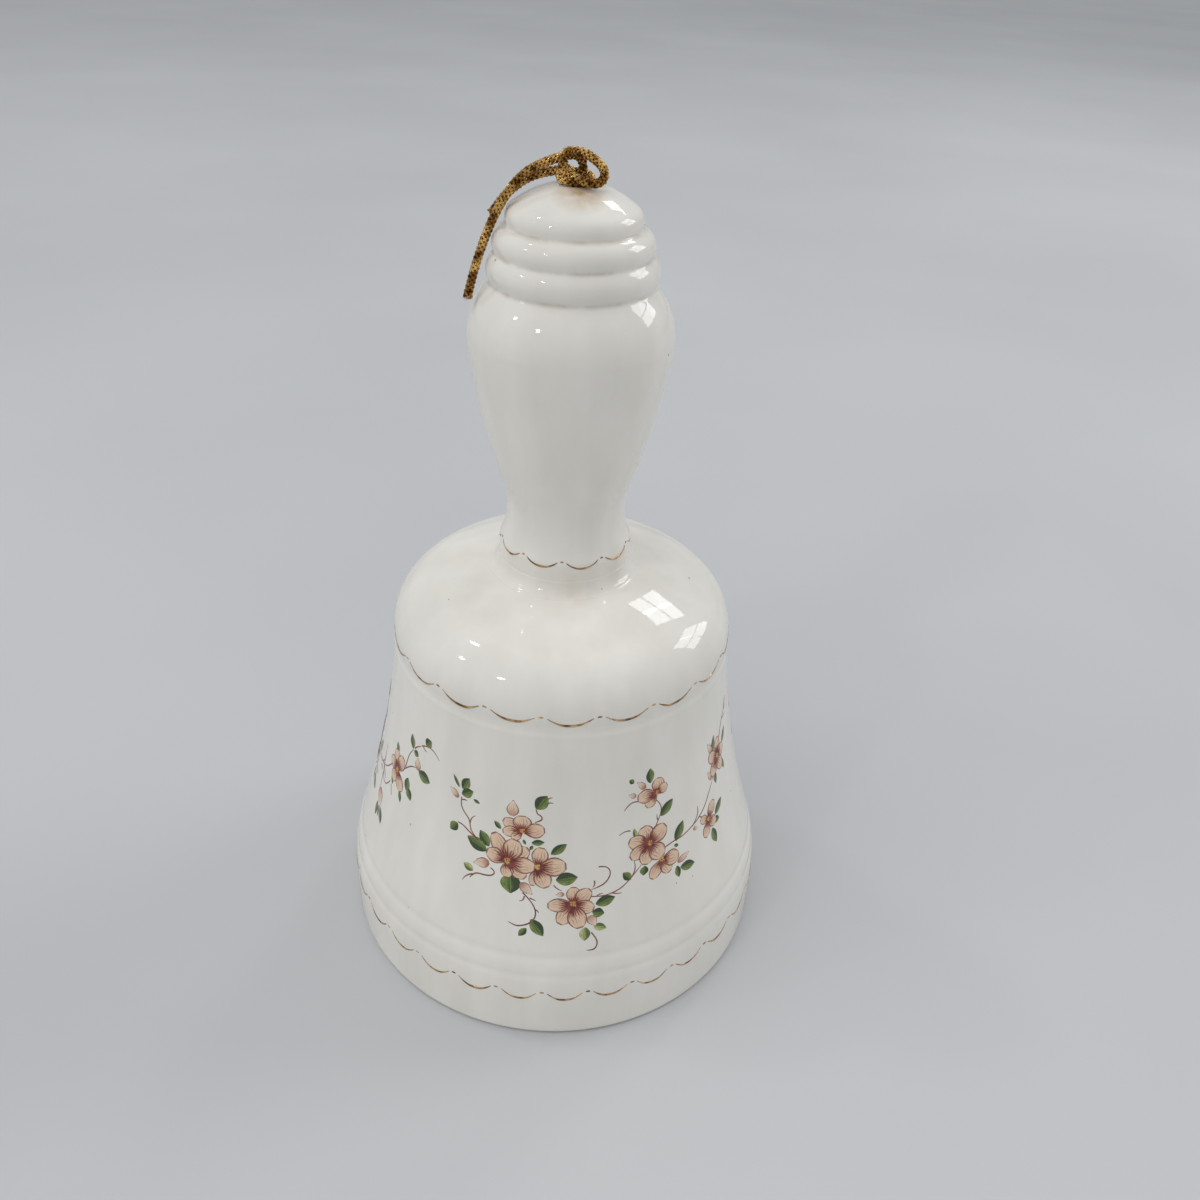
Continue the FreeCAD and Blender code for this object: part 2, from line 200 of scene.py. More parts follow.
def bright_lustre():
    """Liquid gold brushed on and fired: thin bright metal, brown where it is worn thin."""
    material, tree = new_material("fired_gold_lustre")
    place = add(tree, "TexCoord", output="Object")
    worn = add(tree, "TexNoise", {"Vector": place, "Scale": per_mm(2.4), "Detail": 3.0})
    colour = add(tree, "ValToRGB", {0: worn}, stops=((0.34, "#5A4128"), (0.46, "#9C774A"), (0.62, "#E0BC8A")))
    metal = add(tree, "ValToRGB", {0: worn}, stops=((0.34, 0.25), (0.6, 0.95)))
    rough = add(tree, "ValToRGB", {0: worn}, stops=((0.35, 0.42), (0.7, 0.2)))
    shader = add(tree, "BsdfPrincipled", {"Base Color": colour, "Metallic": metal, "Roughness": rough})
    add(tree, "OutputMaterial", {"Surface": shader})
    return material


def print_place(tree):
    """Where a point is on a petal or leaf: its UV, how far across, along, out from the rib and
    towards the edge."""
    place = add(tree, "TexCoord", output="UV")
    across = add(tree, "SeparateXYZ", {0: place})
    along = across.node.outputs["Y"]
    out = add(tree, "Math", {0: across, 1: 2.0, 2: -1.0}, operation="MULTIPLY_ADD")
    out = add(tree, "Math", {0: out}, operation="ABSOLUTE")
    far = add(tree, "Math", {0: along, 1: 2.4, 2: -1.42}, operation="MULTIPLY_ADD")
    edge = add(tree, "Math", {0: out, 1: far}, operation="MAXIMUM")
    return place, across, along, out, edge


def transfer_petal(name, throat, middle, tip, line):
    """Ceramic transfer ink, fired: stippled peach, maroon veins from the throat, a fine outline."""
    material, tree = new_material(name)
    place, _, along, _, edge = print_place(tree)
    spot = add(tree, "TexCoord", output="Object")
    # Veins 0.5 mm apart across a petal 4.5 mm wide, running out along it.
    streaks = add(tree, "Mapping", {"Vector": place, "Scale": (4.5 / 0.5, 1.1, 1)})
    vein = add(tree, "TexNoise", {"Vector": streaks, "Scale": 1.0, "Detail": 2.0})
    uneven = add(tree, "Math", {0: vein, 1: 0.5}, operation="SUBTRACT")
    reach = add(tree, "Math", {0: along, 1: uneven}, operation="ADD")
    colour = add(tree, "ValToRGB", {0: reach},
                 stops=((0.06, throat), (0.34, middle), (0.6, tip), (0.95, tip)))
    tint = add(tree, "TexNoise", {"Vector": spot, "Scale": per_mm(5.5), "Detail": 2.0})
    colour = laid_over(tree, colour, tint, ((0.35, 0.0), (0.75, 0.5)), "#E2C6A8")
    ink = add(tree, "ValToRGB", {0: vein}, stops=((0.53, 0.0), (0.63, 0.95)))
    inward = add(tree, "Math", {0: 1.15, 1: along}, operation="SUBTRACT")
    ink = add(tree, "Math", {0: ink, 1: inward}, operation="MULTIPLY")
    colour = add(tree, "Mix", {0: ink, 6: colour, 7: line}, 2, data_type="RGBA")
    colour = laid_over(tree, colour, edge, ((0.8, 0.0), (0.94, 1.0)), line)
    # The screen's dots are about 0.1 mm; they are drawn at 0.35 mm so that they show.
    grain = add(tree, "TexNoise", {"Vector": spot, "Scale": per_mm(0.35), "Detail": 1.0})
    colour = laid_over(tree, colour, grain, ((0.55, 0.0), (0.75, 0.25)), "#EFE2D0")
    shader = add(tree, "BsdfPrincipled", {"Base Color": colour, "Roughness": 0.16, "IOR": 1.5})
    add(tree, "OutputMaterial", {"Surface": shader})
    return material


def transfer_leaf(name, deep, fresh, light):
    """Ceramic transfer ink, fired: dark green with a lighter half, a pale rib and a dark edge."""
    material, tree = new_material(name)
    place, across, _, out, edge = print_place(tree)
    # Brush marks 0.5 mm apart across a leaf 2.5 mm wide.
    streaks = add(tree, "Mapping", {"Vector": place, "Scale": (2.5 / 0.5, 2.2, 1)})
    wash = add(tree, "TexNoise", {"Vector": streaks, "Scale": 1.0, "Detail": 3.0})
    wash = add(tree, "Math", {0: wash, 1: 1.3, 2: -0.65}, operation="MULTIPLY_ADD")
    half = add(tree, "Math", {0: across, 1: wash}, operation="ADD")
    colour = add(tree, "ValToRGB", {0: half}, stops=((0.3, deep), (0.62, fresh), (0.95, light)))
    colour = laid_over(tree, colour, out, ((0.0, 0.65), (0.1, 0.0)), light)
    colour = laid_over(tree, colour, edge, ((0.84, 0.0), (0.99, 0.7)), "#33431F")
    shader = add(tree, "BsdfPrincipled", {"Base Color": colour, "Roughness": 0.16, "IOR": 1.5})
    add(tree, "OutputMaterial", {"Surface": shader})
    return material


def transfer_line(name, first, second):
    """Ceramic transfer ink, fired: a drawn line that turns paler where the ink ran thin."""
    material, tree = new_material(name)
    place = add(tree, "TexCoord", output="Object")
    ink = add(tree, "TexNoise", {"Vector": place, "Scale": per_mm(1.7), "Detail": 2.0})
    colour = add(tree, "ValToRGB", {0: ink}, stops=((0.38, first), (0.62, second)))
    shader = add(tree, "BsdfPrincipled", {"Base Color": colour, "Roughness": 0.18, "IOR": 1.5})
    add(tree, "OutputMaterial", {"Surface": shader})
    return material


def lurex_thread(name, dark, bright):
    """Foil-wrapped yarn, plaited: hard glints on the crowns, painted brown shade in the hollows."""
    material, tree = new_material(name)
    place = add(tree, "TexCoord", output="UV")
    spot = add(tree, "TexCoord", output="Object")
    # The foil goes round the yarn every 0.24 mm. At scale 1 the bands repeat every 0.2 pi.
    wraps = add(tree, "TexWave", {"Vector": place, "Scale": 0.2 * math.pi / 0.24166, "Distortion": 1.5,
                                  "Detail": 1.0}, "Fac", wave_type="BANDS", bands_direction="DIAGONAL")
    tarnish = add(tree, "TexNoise", {"Vector": spot, "Scale": per_mm(3.4), "Detail": 2.0})
    colour = laid_over(tree, dark, tarnish, ((0.38, 0.0), (0.62, 1.0)), bright)
    # Painted shade: darker in the hollows between the foil's wraps.
    colour = laid_over(tree, colour, wraps, ((0.0, 0.3), (0.3, 0.0)), dark)
    relief = add(tree, "Bump", {"Height": wraps, "Distance": 0.05 * MM, "Strength": 0.8})
    rough = add(tree, "ValToRGB", {0: tarnish}, stops=((0.35, 0.34), (0.7, 0.2)))
    shader = add(tree, "BsdfPrincipled", {"Base Color": colour, "Metallic": 1.0, "Roughness": rough,
                                          "Normal": relief})
    add(tree, "OutputMaterial", {"Surface": shader})
    return material


def shaded_core():
    """A core inside the plait; its black-brown is painted shade in the gaps between threads."""
    material, tree = new_material("braid_core_painted_shade")
    place = add(tree, "TexCoord", output="Object")
    fibres = add(tree, "TexNoise", {"Vector": place, "Scale": per_mm(0.5), "Detail": 2.0})
    colour = add(tree, "ValToRGB", {0: fibres}, stops=((0.35, "#120D09"), (0.7, "#2E2114")))
    shader = add(tree, "BsdfPrincipled", {"Base Color": colour, "Roughness": 0.85})
    add(tree, "OutputMaterial", {"Surface": shader})
    return material


PORCELAIN = glazed_porcelain("slip_cast_porcelain_clear_glaze", "#F2EEE5", "#E9E5DB", [
    ((14.5, -11.5, 121.0), 7.0, 0.35),
    # Painted shade: these two patches round the cord's hole, under the knot and the loop.
    ((1.0, -7.0, 209.8), 6.5, 1.5),
    ((3.2, 1.2, 210.8), 4.6, 2.4),
    ((2.0, -18.5, 117.0), 9.0, 0.3),
], [(189.8, 0.8), (196.4, 0.7), (202.1, 0.6)])
CLAPPER_GLAZE = glazed_porcelain("porcelain_clapper_glaze", "#ECE9E2", "#E0DCD2")
LUSTRE = bright_lustre()
PETAL = transfer_petal("transfer_peach_petal", "#7C342C", "#CE9A7C", "#EDCCAE", "#6E342C")
PALE_PETAL = transfer_petal("transfer_pale_petal", "#9E5648", "#DCB498", "#F0DDC8", "#7A443A")
STAMEN = transfer_line("transfer_stamen_yellow", "#DDB060", "#C98F52")
THROAT_INK = transfer_line("transfer_maroon_throat", "#6A2624", "#8A443A")
LEAF = transfer_leaf("transfer_green_leaf", "#38482A", "#556A36", "#8A9A52")
PALE_LEAF = transfer_leaf("transfer_pale_leaf", "#5C6E3C", "#94A05C", "#D3CE98")
STEM = transfer_line("transfer_brown_stem", "#6B3A30", "#93604E")
GOLD_THREAD = lurex_thread("gold_lurex_thread", "#8C6128", "#F0C67C")
DARK_THREAD = lurex_thread("black_gold_lurex_thread", "#4E3415", "#B08342")
CORE_SHADE = shaded_core()


def dress(piece, body, slot, *materials):
    piece.data.materials.clear()
    for material in materials:
        piece.data.materials.append(material)
    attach(piece, body)
    return piece


# ---------- spun shells

def traced(corners, spacing):
    """Points along an outline. Each corner is (radius, height, curve) in millimetres, and
    its curve is the radius of the arc that leaves it, turning left, or right if negative."""
    points = []
    for (x0, z0, curve), (x1, z1, _) in zip(corners, corners[1:]):
        chord = math.hypot(x1 - x0, z1 - z0)
        if curve is None:
            count = max(1, round(chord / spacing))
            points += [(x0 + (x1 - x0) * step / count, z0 + (z1 - z0) * step / count)
                       for step in range(count)]
            continue
        side = math.copysign(1.0, curve)
        height = side * math.sqrt(max(curve * curve - chord * chord / 4, 0.0))
        centre_x = (x0 + x1) / 2 - (z1 - z0) / chord * height
        centre_z = (z0 + z1) / 2 + (x1 - x0) / chord * height
        first = math.atan2(z0 - centre_z, x0 - centre_x)
        turn = math.remainder(math.atan2(z1 - centre_z, x1 - centre_x) - first, 2 * math.pi)
        count = max(2, round(abs(turn * curve) / spacing))
        points += [(centre_x + abs(curve) * math.cos(first + turn * step / count),
                    centre_z + abs(curve) * math.sin(first + turn * step / count)) for step in range(count)]
    return points + [corners[-1][:2]]


# Each line is (height, how far it stands out, width).
SOFT_LINES = [(23.0, -0.22, 0.9), (28.6, -0.26, 1.1), (93.0, 0.1, 0.45), (94.4, -0.2, 0.5),
              (95.9, -0.16, 0.5)]


def lined(points):
    """The thrown lines above the lip and under the shoulder, softened by the glaze."""
    return [(x + sum(depth * math.exp(-((z - height) / width) ** 2)
                     for height, depth, width in SOFT_LINES), z) for x, z in points]


def spun(name, points, steps, soften=3):
    """Draw a closed profile by extruding one vertex from the last, soften it and spin it."""
    start = (points[0][0] * MM, 0, points[0][1] * MM)
    bpy.ops.mesh.primitive_plane_add(size=0.1 * MM, location=start)
    piece = bpy.context.object
    piece.name = piece.data.name = name
    bpy.ops.object.transform_apply(location=True, rotation=True, scale=True)
    bpy.ops.object.mode_set(mode="EDIT")
    bpy.ops.mesh.merge(type="CENTER")
    for (x0, z0), (x1, z1) in zip(points, points[1:]):
        step = ((x1 - x0) * MM, 0, (z1 - z0) * MM)
        bpy.ops.mesh.extrude_region_move(TRANSFORM_OT_translate={"value": step})
    bpy.ops.mesh.select_all(action="SELECT")
    bpy.ops.mesh.remove_doubles(threshold=0.02 * MM)
    bpy.ops.mesh.vertices_smooth(factor=0.5, repeat=soften)
    bpy.ops.mesh.spin(steps=steps, angle=2 * math.pi, center=(0, 0, 0), axis=(0, 0, 1))
    bpy.ops.mesh.select_all(action="SELECT")
    bpy.ops.mesh.remove_doubles(threshold=0.01 * MM)
    bpy.ops.mesh.normals_make_consistent(inside=False)
    bpy.ops.object.mode_set(mode="OBJECT")
    bpy.ops.object.shade_smooth()
    bpy.ops.object.select_all(action="DESELECT")
    return piece


CROWN_EDGE = (36.54, 110.8)
CROWN_CURVE = 102.0
FLARE = (RIM - 1.9, 27.2)
SKIRT = lined(traced([
    (RIM - 1.4, 0.0, 1.4),
    (RIM, 1.4, None),
    (RIM, 14.0, 46.8),
    (*FLARE, -290.0),
    (SHOULDER, WAIST, None),
    (SHOULDER, WAIST + 3.0, 13.5),
    (*CROWN_EDGE, CROWN_CURVE),
    (18.9, SEAT, None),
], 0.4))
BELL_INSIDE = traced([
    (18.9, SEAT, None),
    (THROAT, SEAT, None),
    (THROAT, SEAT - WALL, -(CROWN_CURVE - WALL)),
    (CROWN_EDGE[0] - 1.5, CROWN_EDGE[1] - 3.9, -9.3),
    (SHOULDER - WALL, WAIST + 3.0, None),
    (SHOULDER - WALL, WAIST, 294.0),
    (FLARE[0] - WALL, FLARE[1], -42.6),
    (RIM - WALL, 14.0, None),
    (RIM - WALL, 1.4, 1.4),
    (RIM - WALL + 1.4, 0.0, None),
    (RIM - 1.4, 0.0, None),
], 1.6)
COLLAR_RADIUS = 16.9
NECK = (15.0, SEAT + 16.6)
BULB_FOOT = (16.4, SEAT + 25.0)
BULB_TOP = (22.9, SEAT + 51.0)
BULB = (24.2, SEAT + 62.0)
LOW_CREASE = (18.8, SEAT + 73.9)
TOP_CREASE = (15.1, SEAT + 86.2)
HANDLE_OUTSIDE = traced([
    (COLLAR_RADIUS, SEAT, None),
    (COLLAR_RADIUS, SEAT + 8.4, -19.0),
    (*NECK, -19.0),
    (*BULB_FOOT, 195.0),
    (*BULB_TOP, 60.0),
    (*BULB, 18.0),
    (*LOW_CREASE, 4.6),
    (17.8, SEAT + 80.5, 3.7),
    (*TOP_CREASE, 3.3),
    (13.6, SEAT + 90.7, 24.0),
    (HOLE + 1.0, TOP, 1.0),
    (HOLE, TOP - 1.0, None),
], 0.42)


def hollow(place, curve=None):
    """A corner of the handle's inside, one wall in from the outside."""
    return place[0] - HANDLE_WALL, place[1], curve


HANDLE_INSIDE = traced([
    (HOLE, TOP - 1.0, None),
    (HOLE, TOP - 4.4, None),
    hollow(TOP_CREASE),
    hollow(LOW_CREASE),
    hollow(BULB, -56.4),
    hollow(BULB_TOP, -191.4),
    hollow(BULB_FOOT, 22.6),
    hollow(NECK),
    hollow((COLLAR_RADIUS, SEAT)),
    (COLLAR_RADIUS, SEAT, None),
], 1.6)

bell_body = spun("bell_body", SKIRT[:-1] + BELL_INSIDE, 160)
dress(bell_body, "bell", "glazed_porcelain", PORCELAIN)
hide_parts("bell_shell")

handle_body = spun("handle_body", HANDLE_OUTSIDE[:-1] + HANDLE_INSIDE, 128)
dress(handle_body, "bell", "glazed_porcelain", PORCELAIN)
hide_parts("handle_shell")

# The slip seam leaves the collar upright and runs out level on the crown.
SEAM_WIDTH = 3.0
SEAM_HEIGHT = 4.2
seam_face = [(16.95 + SEAM_WIDTH * (1 - math.sin(turn)), SEAT - 0.12 + SEAM_HEIGHT * (1 - math.cos(turn)))
             for turn in [math.pi / 2 * step / 14 for step in range(15)]]
collar_seam = spun("collar_seam", seam_face + [(16.2, SEAT + SEAM_HEIGHT - 0.1), (16.2, SEAT - 0.9),
                                               (16.95 + SEAM_WIDTH, SEAT - 0.9), seam_face[0]], 128, soften=1)
dress(collar_seam, "bell", "glazed_porcelain", PORCELAIN)
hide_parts("slip_fillet")

clapper_ball = spun("clapper_ball", traced([
    (BORE + 0.5, CLAPPER_FOOT, CLAPPER_RADIUS),
    (BORE + 0.5, CLAPPER_HEAD, None),
    (BORE, CLAPPER_HEAD - 0.6, None),
    (BORE, CLAPPER_FOOT + 0.6, None),
    (BORE + 0.5, CLAPPER_FOOT, None),
], 0.5), 96, soften=2)
dress(clapper_ball, "clapper", "clapper_porcelain", CLAPPER_GLAZE)
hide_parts("clapper")


# ---------- laying decoration on the glaze

OUTSIDE = SKIRT + HANDLE_OUTSIDE
OUT_RADIUS = np.array([x for x, z in OUTSIDE])
OUT_HEIGHT = np.array([z for x, z in OUTSIDE])


def lay_on_glaze(piece, azimuth, height, radius, lift):
    """Wrap a flat piece round the bell. Flat x runs round it from an azimuth, flat y runs up
    it from a height, and flat z, with the lift, stands out of the glaze along its normal."""
    places = np.empty(len(piece.data.vertices) * 3)
    piece.data.vertices.foreach_get("co", places)
    across, up, out = places.reshape(-1, 3).T / MM
    angle = math.radians(azimuth) + across / radius
    level = height + up
    wall = np.interp(level, OUT_HEIGHT, OUT_RADIUS)
    lean = (np.interp(level - 1, OUT_HEIGHT, OUT_RADIUS) - np.interp(level + 1, OUT_HEIGHT, OUT_RADIUS)) / 2
    tilt = np.arctan(lean)
    reach = wall + (out + lift) * np.cos(tilt)
    laid = np.stack([reach * np.sin(angle), -reach * np.cos(angle), level + (out + lift) * np.sin(tilt)], 1)
    piece.data.vertices.foreach_set("co", (laid * MM).ravel())
    piece.data.update()


def selecting(mesh, test):
    """Select only the vertices that pass a test of their place."""
    for item in (*mesh.polygons, *mesh.edges):
        item.select = False
    for vertex in mesh.vertices:
        vertex.select = test(vertex.co)


def blade(widths):
    """A flat petal or leaf from a grid: one unit long up y, each row drawn in to its width."""
    rows = len(widths) - 1
    bpy.ops.mesh.primitive_grid_add(x_subdivisions=4, y_subdivisions=rows, size=1, location=(0, 0.5, 0))
    piece = bpy.context.object
    bpy.ops.object.transform_apply(location=True, rotation=True, scale=True)
    for row, width in enumerate(widths):
        selecting(piece.data, lambda place: abs(place.y - row / rows) < 0.01)
        bpy.ops.object.mode_set(mode="EDIT")
        bpy.ops.transform.resize(value=(width, 1, 1))
        bpy.ops.object.mode_set(mode="OBJECT")
    bpy.ops.object.select_all(action="DESELECT")
    bpy.context.scene.collection.objects.unlink(piece)
    return piece


PETAL_BLADE = blade((0.2, 0.42, 0.66, 0.86, 0.98, 1.0, 0.9, 0.68, 0.3))
LEAF_BLADE = blade((0.16, 0.66, 0.98, 1.16, 1.2, 1.1, 0.88, 0.52, 0.06))
BUD_BLADE = blade((0.3, 0.7, 0.93, 1.0, 0.94, 0.78, 0.55, 0.3, 0.12))


def drawn(shape, start, end, width, material, patch, lift):
    """A copy of a flat shape, drawn from one point of a patch to another, on the glaze."""
    piece = bpy.data.objects.new(shape.name, shape.data.copy())
    bpy.context.scene.collection.objects.link(piece)
    run = Vector(end) - Vector(start)
    turn = math.atan2(run.y, run.x) - math.pi / 2
    piece.data.transform(Matrix.Translation((start[0] * MM, start[1] * MM, 0)) @ Matrix.Rotation(turn, 4, "Z")
                         @ Matrix.Diagonal((width * MM, run.length * MM, 1, 1)))
    piece.data.materials.append(material)
    lay_on_glaze(piece, *patch, lift)
    return piece


def spline_object(name, points, thickness=0.0, widths=None, base=(0.0, 0.0, 0.0)):
    """A smooth cord or brush stroke: an open NURBS spline whose control points are given in millimetres."""
    data = bpy.data.curves.new(name, "CURVE")
    data.dimensions = "3D"
    data.resolution_u = 12 if thickness == 0 else 4
    data.bevel_depth = thickness * MM
    data.bevel_resolution = 1
    data.use_fill_caps = True
    spline = data.splines.new("NURBS")
    spline.points.add(len(points) - 1)
    for number, place in enumerate(points):
        spot = [part + start for part, start in zip((*place, 0.0)[:3], base)]
        spline.points[number].co = (*(part * MM for part in spot), 1.0)
        spline.points[number].radius = widths[number] if widths else 1.0
    spline.order_u = 3
    spline.use_endpoint_u = True
    piece = bpy.data.objects.new(name, data)
    bpy.context.scene.collection.objects.link(piece)
    return piece


FILM = 0.3                                         # a stroke's depth as a share of its width


def stroked(points, widths, thickness, material, patch, lift=0.0):
    """A drawn line: a thin spline pressed almost flat and laid on the glaze."""
    curve = spline_object("stroke", points, thickness, widths)
    mesh = bpy.data.meshes.new_from_object(curve)
    bpy.data.objects.remove(curve)
    mesh.transform(Matrix.Diagonal((1, 1, FILM, 1)))
    piece = bpy.data.objects.new("stroke", mesh)
    bpy.context.scene.collection.objects.link(piece)
    mesh.materials.clear()
    mesh.materials.append(material)
    lay_on_glaze(piece, *patch, lift)
    return piece


def gathered(name, pieces, body):
    """Join drawn pieces into one, which rides on a body."""
    bpy.ops.object.select_all(action="DESELECT")
    for piece in pieces:
        piece.select_set(True)
    bpy.context.view_layer.objects.active = pieces[0]
    bpy.ops.object.join()
    whole = pieces[0]
    whole.name = whole.data.name = name
    bpy.ops.object.select_all(action="DESELECT")
    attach(whole, body)
    return whole


# ---------- scallops of gold lustre
# Each band is (name, height of its dots, azimuth of one dot, scallops, sag, radius, brush).

BANDS = [
    ("lip_scallops", 17.6, -2.4, 31, 2.6, 61.3, 1.0),
    ("shoulder_scallops", 99.0, -5.6, 20, 2.2, 45.1, 1.0),
    ("collar_scallops", 125.0, -2.0, 10, 1.7, 16.8, 0.75),
]
for name, height, first, count, sag, radius, brush in BANDS:
    strokes = []
    half = math.pi * radius / count
    gap = 1.5 * brush
    for number in range(count):
        dot = first + 360 / count * number
        weight = brush * chance.uniform(0.85, 1.12)
        droop = sag * chance.uniform(0.94, 1.05)
        bow = [(-half + gap, -0.12 * droop), (-half * 0.45, -0.86 * droop), (0.0, -1.1 * droop),
               (half * 0.45, -0.86 * droop), (half - gap, -0.12 * droop)]
        middle = (dot + 180 / count, height, radius)
        strokes.append(stroked(bow, (0.3, 0.72, 1.15, 0.72, 0.3), 0.42 * weight, LUSTRE, middle))
        dash = [(-0.55 * brush, -0.04), (0.0, 0.06), (0.55 * brush, -0.02)]
        strokes.append(stroked(dash, (0.55, 1.1, 0.6), 0.34 * weight, LUSTRE, (dot, height, radius)))
    gathered(name, strokes, "bell")


# ---------- transfer flowers
# The layout of each spray, in millimetres across and up from the middle of its patch.
# A flower is (middle, then each petal's tip and width, from the back petal to the front one);
# a leaf or bud is (foot, tip, width); a stem is the points that the pen went through.

MAIN_FLOWERS = [
    ((-8.0, -1.5), [((-12.5, 6.0), 4.6), ((-2.5, 3.0), 4.4), ((-3.0, -5.5), 4.2), ((-6.0, 5.2), 5.6),
                    ((-14.0, 0.2), 4.6), ((-8.0, -6.2), 3.6), ((-0.5, -2.2), 4.8)]),
    ((-4.5, 8.0), [((-10.0, 10.5), 3.8), ((-10.0, 7.0), 3.4), ((-7.2, 5.2), 2.6), ((-4.8, 12.5), 5.4),
                   ((1.6, 9.0), 4.4)]),
    ((0.0, -2.0), [((1.0, 3.8), 4.6), ((-1.2, -7.5), 2.8), ((2.6, -7.8), 4.8), ((7.6, -1.4), 5.6)]),
    ((9.5, -12.5), [((9.6, -7.6), 3.8), ((14.0, -8.8), 4.2), ((14.8, -14.5), 4.2), ((6.0, -18.2), 4.4),
                    ((3.0, -13.0), 4.0), ((11.2, -19.6), 5.0)]),
]
MAIN_LEAVES = [
    ((-23.0, 15.5), (-21.0, 19.2), 2.4), ((-23.0, 13.8), (-19.5, 15.8), 2.4),
    ((-24.0, 15.5), (-26.4, 18.5), 0.9),
    ((-19.2, 13.6), (-17.2, 13.0), 0.8), ((-23.5, 4.8), (-25.6, 2.2), 2.3), ((-13.5, 1.5), (-16.4, 5.4), 2.5),
    ((-14.0, 0.0), (-20.0, 2.4), 3.1), ((-10.5, 7.5), (-12.5, 9.4), 1.2), ((-7.0, -5.0), (-6.6, -10.6), 4.6),
    ((-1.0, 15.0), (2.0, 19.0), 3.2), ((-1.8, 4.9), (1.6, 5.4), 1.5), ((3.5, 2.0), (7.6, 5.0), 2.1),
    ((5.0, -5.5), (10.6, -4.8), 3.2), ((-4.2, 5.6), (-3.4, 4.2), 0.7), ((-2.2, 2.8), (-1.4, 4.2), 0.8),
    ((15.3, -13.2), (20.4, -12.0), 2.6), ((14.4, -15.3), (17.4, -16.2), 2.3),
    ((-1.0, -17.3), (2.2, -21.8), 2.6),
    ((-2.0, -20.0), (-3.8, -22.4), 1.5),
]
MAIN_PALE_LEAVES = [
    ((14.6, -19.2), (17.8, -20.6), 1.8), ((12.5, -19.6), (12.3, -23.4), 2.3),
    ((-17.3, -7.0), (-20.2, -5.8), 1.8),
]
MAIN_BUDS = [
    ((-24.0, 12.4), (-27.0, 14.4), 1.9), ((-7.5, 12.0), (-7.5, 16.6), 3.6),
    ((-13.0, -3.2), (-17.4, -4.6), 3.0),
    ((-4.2, -7.2), (-1.0, -10.0), 2.8), ((13.6, -16.4), (15.2, -19.4), 2.6), ((7.2, -9.6), (5.0, -9.8), 1.4),
]
MAIN_STEMS = [
    [(-23.0, 13.0), (-23.2, 11.0), (-22.0, 9.0), (-20.0, 7.5), (-19.5, 5.5), (-19.0, 4.0), (-16.8, 2.4)],
    [(-19.6, 6.4), (-19.6, 8.2), (-18.2, 9.0)],
    [(-23.0, 12.0), (-22.2, 12.8), (-21.2, 12.4)],
    [(-23.4, 5.2), (-22.0, 5.2), (-20.0, 4.0), (-18.0, 3.0), (-16.0, 1.8)],
    [(-1.0, 14.8), (-0.8, 13.6), (0.6, 13.0), (0.8, 12.0), (-0.2, 11.4), (-1.2, 11.0)],
    [(2.0, 18.0), (2.7, 18.6), (3.4, 18.6)],
    [(2.0, 16.8), (2.8, 17.2), (3.7, 17.0)],
    [(-12.5, -4.6), (-11.2, -5.2), (-11.6, -6.6), (-13.5, -7.2), (-16.0, -7.2), (-17.2, -8.0), (-18.0, -9.3)],
    [(-17.2, -8.0), (-19.2, -8.8), (-20.0, -10.8)],
    [(-3.5, -9.8), (-2.0, -11.2), (-0.6, -13.0), (0.2, -15.0), (0.0, -17.0), (-1.4, -18.6), (-3.2, -19.4),
     (-5.0, -19.7), (-6.6, -18.8)],
    [(-3.0, -10.8), (-2.9, -12.2), (-4.2, -12.4)],
    [(-1.6, -11.2), (-0.8, -11.4), (0.0, -11.9)],
    [(0.0, -14.4), (0.6, -14.6), (0.9, -15.2)],
    [(4.4, -7.0), (5.3, -8.2), (6.6, -8.6)],
    [(16.2, -2.4), (17.8, -2.4), (19.2, -3.6), (19.4, -5.2), (18.4, -7.0), (16.6, -8.2), (14.2, -8.8)],
    [(15.0, -6.3), (15.3, -7.4), (14.6, -8.2)],
    [(14.2, -10.8), (16.6, -11.2), (19.5, -10.8), (22.0, -10.0), (24.0, -8.6), (26.0, -6.8), (28.2, -4.8)],
    [(24.6, -8.2), (25.8, -6.8), (26.5, -5.0), (26.2, -3.0)],
    [(19.8, -10.8), (21.0, -11.4), (22.2, -11.3)],
    [(15.4, -11.0), (16.4, -10.2), (17.2, -10.4)],
    [(14.0, -21.2), (15.4, -23.2), (15.4, -25.2), (14.4, -26.4), (12.8, -26.2)],
]
SIDE_FLOWERS = [
    ((-10.5, -2.5), [((-12.2, 3.2), 5.2), ((-5.0, 1.2), 5.4), ((-16.5, 0.2), 4.6), ((-16.3, -5.0), 4.2),
                     ((-12.2, -8.2), 4.6), ((-6.6, -7.8), 5.2)]),
    ((-7.5, 11.8), [((-6.4, 16.2), 4.4), ((-3.8, 13.2), 3.2), ((-11.0, 8.8), 3.8), ((-13.6, 12.4), 4.2)]),
    ((-7.0, -8.6), [((-10.6, -13.2), 3.8), ((-4.8, -13.4), 3.8), ((-1.4, -10.2), 4.8)]),
]
SIDE_LEAVES = [
    ((-9.5, 15.6), (-9.4, 20.0), 2.2), ((-14.6, 17.2), (-16.0, 18.4), 1.2), ((-6.4, 4.4), (-2.0, 7.8), 2.6),
    ((-2.0, -5.4), (1.2, -0.6), 2.6), ((-12.2, -8.6), (-12.8, -11.2), 2.1),
    ((-16.4, -11.2), (-18.4, -8.6), 1.9),
    ((-1.2, -14.0), (3.8, -15.4), 2.4), ((-2.4, -13.0), (-2.0, -16.6), 1.6),
    ((-2.6, -6.4), (-1.2, -7.2), 0.9),
]
SIDE_PALE_LEAVES = [((-14.4, 0.6), (-14.8, 3.6), 1.1)]
